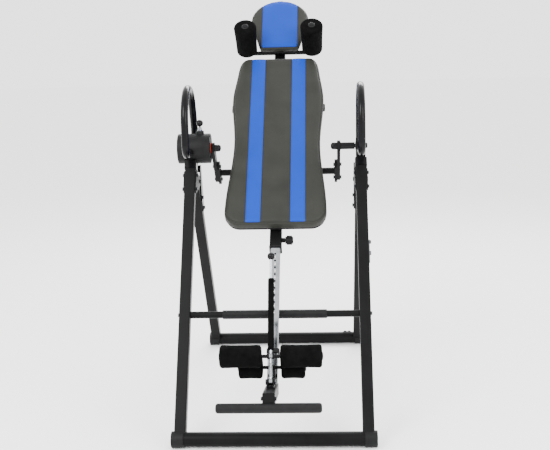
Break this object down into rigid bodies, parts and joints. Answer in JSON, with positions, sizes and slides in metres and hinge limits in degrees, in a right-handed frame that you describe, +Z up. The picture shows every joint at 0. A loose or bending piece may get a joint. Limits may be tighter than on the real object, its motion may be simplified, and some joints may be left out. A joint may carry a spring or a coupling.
{
  "type": "inversion table",
  "caption": "Folding A-frame inversion table: a padded backrest with headrest on a swinging rail, telescoping ankle boom, foam ankle clamp, foot bar, loop handles and an indexed pivot.",
  "frame": {"origin": "on the floor, in the middle of the floor space that the table takes up with the frame open and the bed at rest", "axes": "+Z up, +X to the right of someone who faces the bed, -Y towards the foot end of the bed"},
  "size_m": [0.72, 1.5938, 1.5271],
  "materials": {
    "satin_black": "satin black powder coat",
    "gloss_black": "gloss black enamel",
    "grey_steel": "grey painted steel",
    "chrome": "polished chrome plate",
    "zinc": "zinc plated steel",
    "black_plastic": "moulded, fine texture",
    "gloss_plastic": "moulded, polished",
    "red_plastic": "moulded",
    "black_foam": "closed cell foam",
    "bumper_foam": "foam sleeve",
    "leatherette": "grained leatherette with blue panels",
    "board_ply": "black covered plywood"
  },
  "bodies": {
    "front_frame": {"front_base_bar": "satin_black", "front_base_caps": "black_plastic", "left_front_leg": "satin_black", "right_front_leg": "satin_black", "leg_sleeves": "gloss_plastic", "pivot_posts": "satin_black", "pivot_bushes": "zinc", "hinge_plates": "satin_black", "hinge_bolts": "zinc", "cross_bar": "satin_black", "cross_bar_bumper": "bumper_foam", "front_frame_bolts": "zinc", "left_handle": "gloss_black", "right_handle": "gloss_black", "drum_shell": "black_plastic", "drum_cover": "black_plastic", "drum_collar_ring": "red_plastic", "index_pin_guide": "chrome"},
    "rear_frame": {"rear_base_bar": "satin_black", "rear_base_caps": "black_plastic", "left_rear_leg": "satin_black", "right_rear_leg": "satin_black", "rear_saddle": "satin_black", "fold_bolts": "zinc"},
    "fold_latch": {"fold_latch": "grey_steel"},
    "index_pin": {"index_pin": "zinc", "index_pin_knob": "gloss_plastic"},
    "bed": {"swing_arms": "satin_black", "pivot_axles": "gloss_black", "index_disc": "zinc", "cross_tube": "satin_black", "flange_bolts": "zinc", "bed_rail": "satin_black", "rail_guide": "black_plastic", "board_straps": "satin_black", "backrest_board": "board_ply", "backrest_pad": "leatherette", "shoulder_bar": "gloss_black"},
    "headrest": {"headrest_bracket": "satin_black", "headrest_board": "board_ply", "headrest_pad": "leatherette"},
    "left_head_roller": {"left_head_roller": "black_foam"},
    "right_head_roller": {"right_head_roller": "black_foam"},
    "boom": {"boom": "chrome", "boom_collar": "black_plastic", "lever_clevis": "satin_black", "lever_bolt": "zinc", "heel_axle": "satin_black", "footrest_block": "satin_black", "foot_bar": "black_foam", "footrest_pin": "zinc"},
    "left_heel_roller": {"left_heel_roller": "black_foam"},
    "right_heel_roller": {"right_heel_roller": "black_foam"},
    "ankle_lever": {"lever_rod": "chrome", "lever_ball": "gloss_plastic", "lever_grip": "black_foam", "lever_spring": "zinc"},
    "left_ankle_roller": {"left_ankle_roller": "black_foam"},
    "right_ankle_roller": {"right_ankle_roller": "black_foam"},
    "star_knob": {"star_knob": "black_plastic"}
  },
  "joints": [
    {"name": "frame_fold", "type": "hinge", "parent": "front_frame", "child": "rear_frame", "pos_m": [0, 0.076, 0.83], "axis": [-1, 0, 0], "range_deg": [0, 62]},
    {"name": "bed_tilt", "type": "hinge", "parent": "front_frame", "child": "bed", "pos_m": [0, 0.051, 0.96], "axis": [-1, 0, 0], "range_deg": [0, 130]},
    {"name": "index_pin_pull", "type": "slide", "parent": "front_frame", "child": "index_pin", "axis": [0, 0, 1], "range_m": [0, 0.012], "stiffness_N_per_m": 400, "springref_m": -0.004},
    {"name": "fold_latch_turn", "type": "hinge", "parent": "front_frame", "child": "fold_latch", "pos_m": [0.342, -0.15634, 0.62968], "axis": [1, 0, 0], "range_deg": [-60, 60]},
    {"name": "headrest_slide", "type": "slide", "parent": "bed", "child": "headrest", "axis": [0, 0.7408, 0.6717], "range_m": [0, 0.04]},
    {"name": "boom_slide", "type": "slide", "parent": "bed", "child": "boom", "axis": [0, -0.7408, -0.6717], "range_m": [-0.12, 0.15]},
    {"name": "left_head_roller_turn", "type": "hinge", "parent": "bed", "child": "left_head_roller", "pos_m": [-0.138, 0.52363, 1.38856], "axis": [0, -0.6717, 0.7408], "continuous": true},
    {"name": "right_head_roller_turn", "type": "hinge", "parent": "bed", "child": "right_head_roller", "pos_m": [0.138, 0.52363, 1.38856], "axis": [0, -0.6717, 0.7408], "continuous": true},
    {"name": "star_knob_turn", "type": "hinge", "parent": "bed", "child": "star_knob", "pos_m": [0.05, -0.0997, 0.62897], "axis": [1, 0, 0], "range_deg": [-180, 180]},
    {"name": "ankle_lever_swing", "type": "hinge", "parent": "boom", "child": "ankle_lever", "pos_m": [0, -0.63918, 0.26669], "axis": [1, 0, 0], "range_deg": [0, 50]},
    {"name": "left_ankle_roller_turn", "type": "hinge", "parent": "ankle_lever", "child": "left_ankle_roller", "pos_m": [-0.1, -0.59923, 0.34058], "axis": [1, 0, 0], "continuous": true},
    {"name": "right_ankle_roller_turn", "type": "hinge", "parent": "ankle_lever", "child": "right_ankle_roller", "pos_m": [0.1, -0.59923, 0.34058], "axis": [1, 0, 0], "continuous": true},
    {"name": "left_heel_roller_turn", "type": "hinge", "parent": "boom", "child": "left_heel_roller", "pos_m": [-0.07, -0.54693, 0.28554], "axis": [1, 0, 0], "continuous": true},
    {"name": "right_heel_roller_turn", "type": "hinge", "parent": "boom", "child": "right_heel_roller", "pos_m": [0.07, -0.54693, 0.28554], "axis": [1, 0, 0], "continuous": true}
  ]
}
